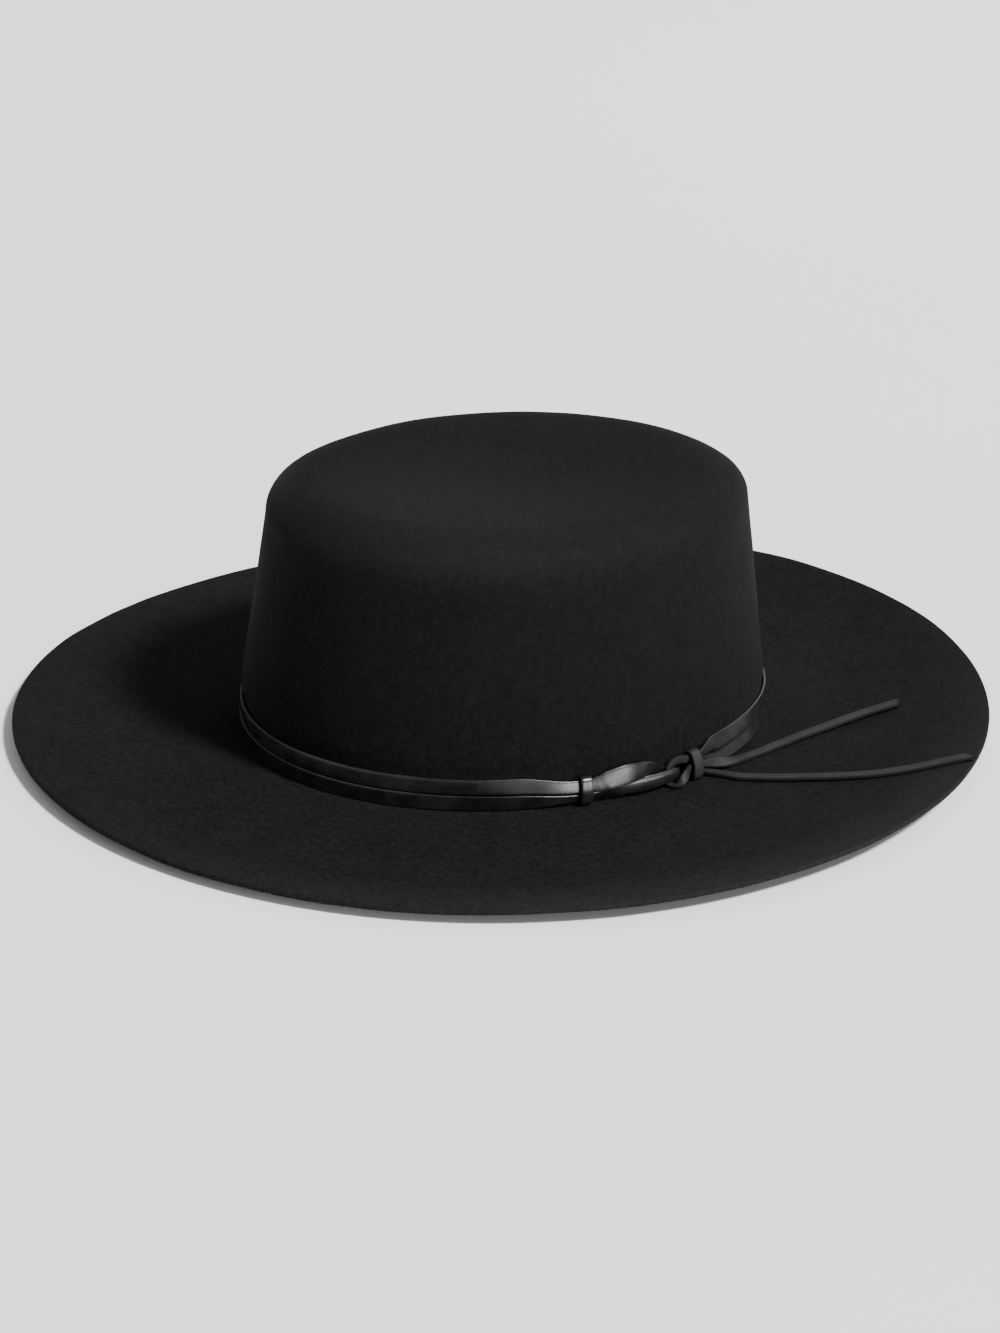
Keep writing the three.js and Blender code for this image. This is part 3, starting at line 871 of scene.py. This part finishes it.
REAR_LOOP = [
    (0.997, 1.00, 1, 1.03, 0.52, 0),
    (0.950, 1.00, 1, 1.03, 0.52, 0),
    (0.900, 1.10, 1, 1.14, 0.55, 0),
    (0.843, 1.20, 1, 1.23, 0.56, 0),
    (0.782, 1.14, 1, 1.15, 0.54, 0),
    (0.746, 1.08, 1, 0.80, 0.50, 0),
    (0.740, 1.05, 1, 0.25, 0.48, 0),
    (0.744, 1.25, 0, 0.14, 0.50, 45),
    (0.752, 2.10, 0, 0.02, 0.52, 90),
    (0.768, 3.20, 0, 0.04, 0.54, 90),
    (0.800, 3.85, 0, 0.22, 0.56, 75),
    (0.850, 3.50, 1, 0.25, 0.58, 30),
    (0.905, 2.60, 1, 0.42, 0.56, 2),
    (0.943, 2.05, 1, 0.48, 0.53, -6),
    (0.997, 2.00, 1, 0.48, 0.53, -6),
]


def add_loop(name, table, swells, node, material):
    places, faces, uv = lace_mesh(stations_from_table(table, swells))
    mesh_piece(name, places, faces, material, node, uv)


# What each keeper holds, as an outline of (layers out from the crown, lace widths up from the brim)
FRONT_KEEPER_OUTLINE = [
    (0.00, 0.00),
    (1.10, 0.00),
    (1.62, 0.22),
    (1.92, 0.80),
    (1.12, 1.50),
    (0.00, 1.55),
]
REAR_KEEPER_OUTLINE = [
    (0.00, 0.00),
    (2.47, 0.00),
    (2.47, 0.47),
    (2.20, 0.97),
    (1.20, 1.49),
    (0.00, 1.49),
]


def rounded_outline(corners, radius):
    """A closed convex outline with its corners rounded, as evenly spread points."""
    points = []
    count = len(corners)
    for i, corner in enumerate(corners):
        before = corners[i - 1]
        after = corners[(i + 1) % count]
        reach = min(radius, (before - corner).length * CORNER_SHARE, (after - corner).length * CORNER_SHARE)
        a = corner + (before - corner).normalized() * reach
        b = corner + (after - corner).normalized() * reach
        for j in range(KEEPER_CORNER_STEPS + 1):
            k = j / KEEPER_CORNER_STEPS
            points.append(a * (1 - k) ** 2 + corner * (2 * k * (1 - k)) + b * k * k)
    return points


def add_keeper(name, place, length, outline, node, material):
    """A sleeve: a strip of leather wound round, its edges rounded."""
    skin = CLEARANCE + LACE_THICK
    inner = [Vector((skin + deep * LAYER_PITCH, skin + tall * LACE_WIDTH)) for deep, tall in outline]
    ring = rounded_outline(inner, KEEPER_ROUND)
    middle = sum(ring, Vector((0, 0))) / len(ring)
    normals = []
    for i, point in enumerate(ring):
        chord = ring[(i + 1) % len(ring)] - ring[i - 1]
        normal = Vector((chord.y, -chord.x)).normalized()
        normals.append(normal if normal.dot(point - middle) > 0 else -normal)
    strip = [(x, y + LACE_THICK / 2) for x, y in lace_section(length, KEEPER_SWELL)]
    places = []
    uv = []
    along = 0.0
    for i, (point, normal) in enumerate(zip(ring, normals)):
        along += (point - ring[i - 1]).length
        for across, through in strip:
            at = point + normal * through
            places.append(beside_crown(turn_at(place + across), at.x, at.y))
            uv.append((along / CENTIMETRE, across * 2 / length))
    count = len(strip)
    faces = ring_faces(len(ring), count)
    last = (len(ring) - 1) * count
    for i in range(count):
        after = (i + 1) % count
        faces.append((last + i, last + after, after, i))
    mesh_piece(name, places, faces, material, node, uv)


# Stage

def add_floor():
    """A plain pale floor that reaches far behind the hat."""
    n = Nodes("pale_floor")
    place = n.add("ShaderNodeTexCoord").outputs["Object"]
    tone = n.noise(place, FLOOR_SCALE, 2.0)
    n.set(n.shader, "Base Color", n.mix(tone, FLOOR_DARK, FLOOR_LIGHT))
    n.set(n.shader, "Roughness", FLOOR_ROUGHNESS)
    reach = FLOOR_REACH
    places = [(-reach, -reach, 0), (reach, -reach, 0), (reach, reach, 0), (-reach, reach, 0)]
    mesh = bpy.data.meshes.new("floor")
    mesh.from_pydata(places, [], [(0, 1, 2, 3)])
    mesh.materials.append(n.material)
    floor = bpy.data.objects.new("floor", mesh)
    bpy.context.scene.collection.objects.link(floor)


def add_area_light(name, place, aim, size, energy):
    light = bpy.data.lights.new(name, "AREA")
    light.shape = "RECTANGLE"
    light.size = size[0]
    light.size_y = size[1]
    light.energy = energy
    lamp = bpy.data.objects.new(name, light)
    bpy.context.scene.collection.objects.link(lamp)
    lamp.location = place
    lamp.rotation_euler = (Vector(aim) - Vector(place)).to_track_quat("-Z", "Y").to_euler()


def add_lights():
    world = bpy.data.worlds.new("studio")
    world.use_nodes = True
    world.node_tree.nodes["Background"].inputs["Color"].default_value = WHITE
    world.node_tree.nodes["Background"].inputs["Strength"].default_value = FILL_STRENGTH
    bpy.context.scene.world = world
    azimuth = radians(CAMERA_AZIMUTH)
    toward = Vector((cos(azimuth), -sin(azimuth), 0))
    right = Vector((sin(azimuth), cos(azimuth), 0))
    up = Vector((0, 0, 1))

    def seen_at(to_right, to_camera, height):
        return right * to_right + toward * to_camera + up * height

    key = bpy.data.lights.new("key", "SUN")
    key.energy = KEY_STRENGTH
    key.angle = radians(KEY_ANGLE)
    lamp = bpy.data.objects.new("key", key)
    bpy.context.scene.collection.objects.link(lamp)
    lamp.rotation_euler = seen_at(*KEY_DIRECTION).to_track_quat("Z", "Y").to_euler()
    for name, (place, size, power) in SOFTBOXES.items():
        add_area_light(name, seen_at(*place), SOFTBOX_AIM, size, power)


def add_hat():
    """The felt, the band's two runs, the loops, the keepers and the free ends."""
    felt = felt_material()
    leather = leather_material("leather", roughness=0.22, tone=0.0075, specular=0.5, edge_dark=0.0)
    matt_leather = leather_material("matt_leather", roughness=0.55, tone=0.0125, specular=0.25, edge_dark=0.9)
    even = (LACE_SWELL, LACE_SWELL)
    rolled = (LACE_SWELL, ROLLED_SWELL)
    front = (FRONT_KEEPER_PLACE, FRONT_KEEPER_LENGTH, FRONT_KEEPER_OUTLINE)
    rear = (REAR_KEEPER_PLACE, REAR_KEEPER_LENGTH, REAR_KEEPER_OUTLINE)
    add_tail("upper_tail_lace", UPPER_TAIL_ROUTE, UPPER_TIP_SLANT, "upper_tail", matt_leather)
    add_tail("lower_tail_lace", LOWER_TAIL_ROUTE, LOWER_TIP_SLANT, "lower_tail", matt_leather)
    add_felt(felt)
    add_band("lower_band_lace", "lower_band", leather, **LOWER_RUN)
    add_band("upper_band_lace", "upper_band", leather, **UPPER_RUN)
    add_loop("front_loop_lace", UPPER_ARM + LOWER_ARM, rolled, "front_loop", leather)
    add_loop("rear_loop_lace", REAR_LOOP, even, "rear_loop", matt_leather)
    add_keeper("front_keeper_ring", *front, "front_keeper", leather)
    add_keeper("rear_keeper_ring", *rear, "rear_keeper", matt_leather)


add_camera()
add_hat()
add_floor()
add_lights()
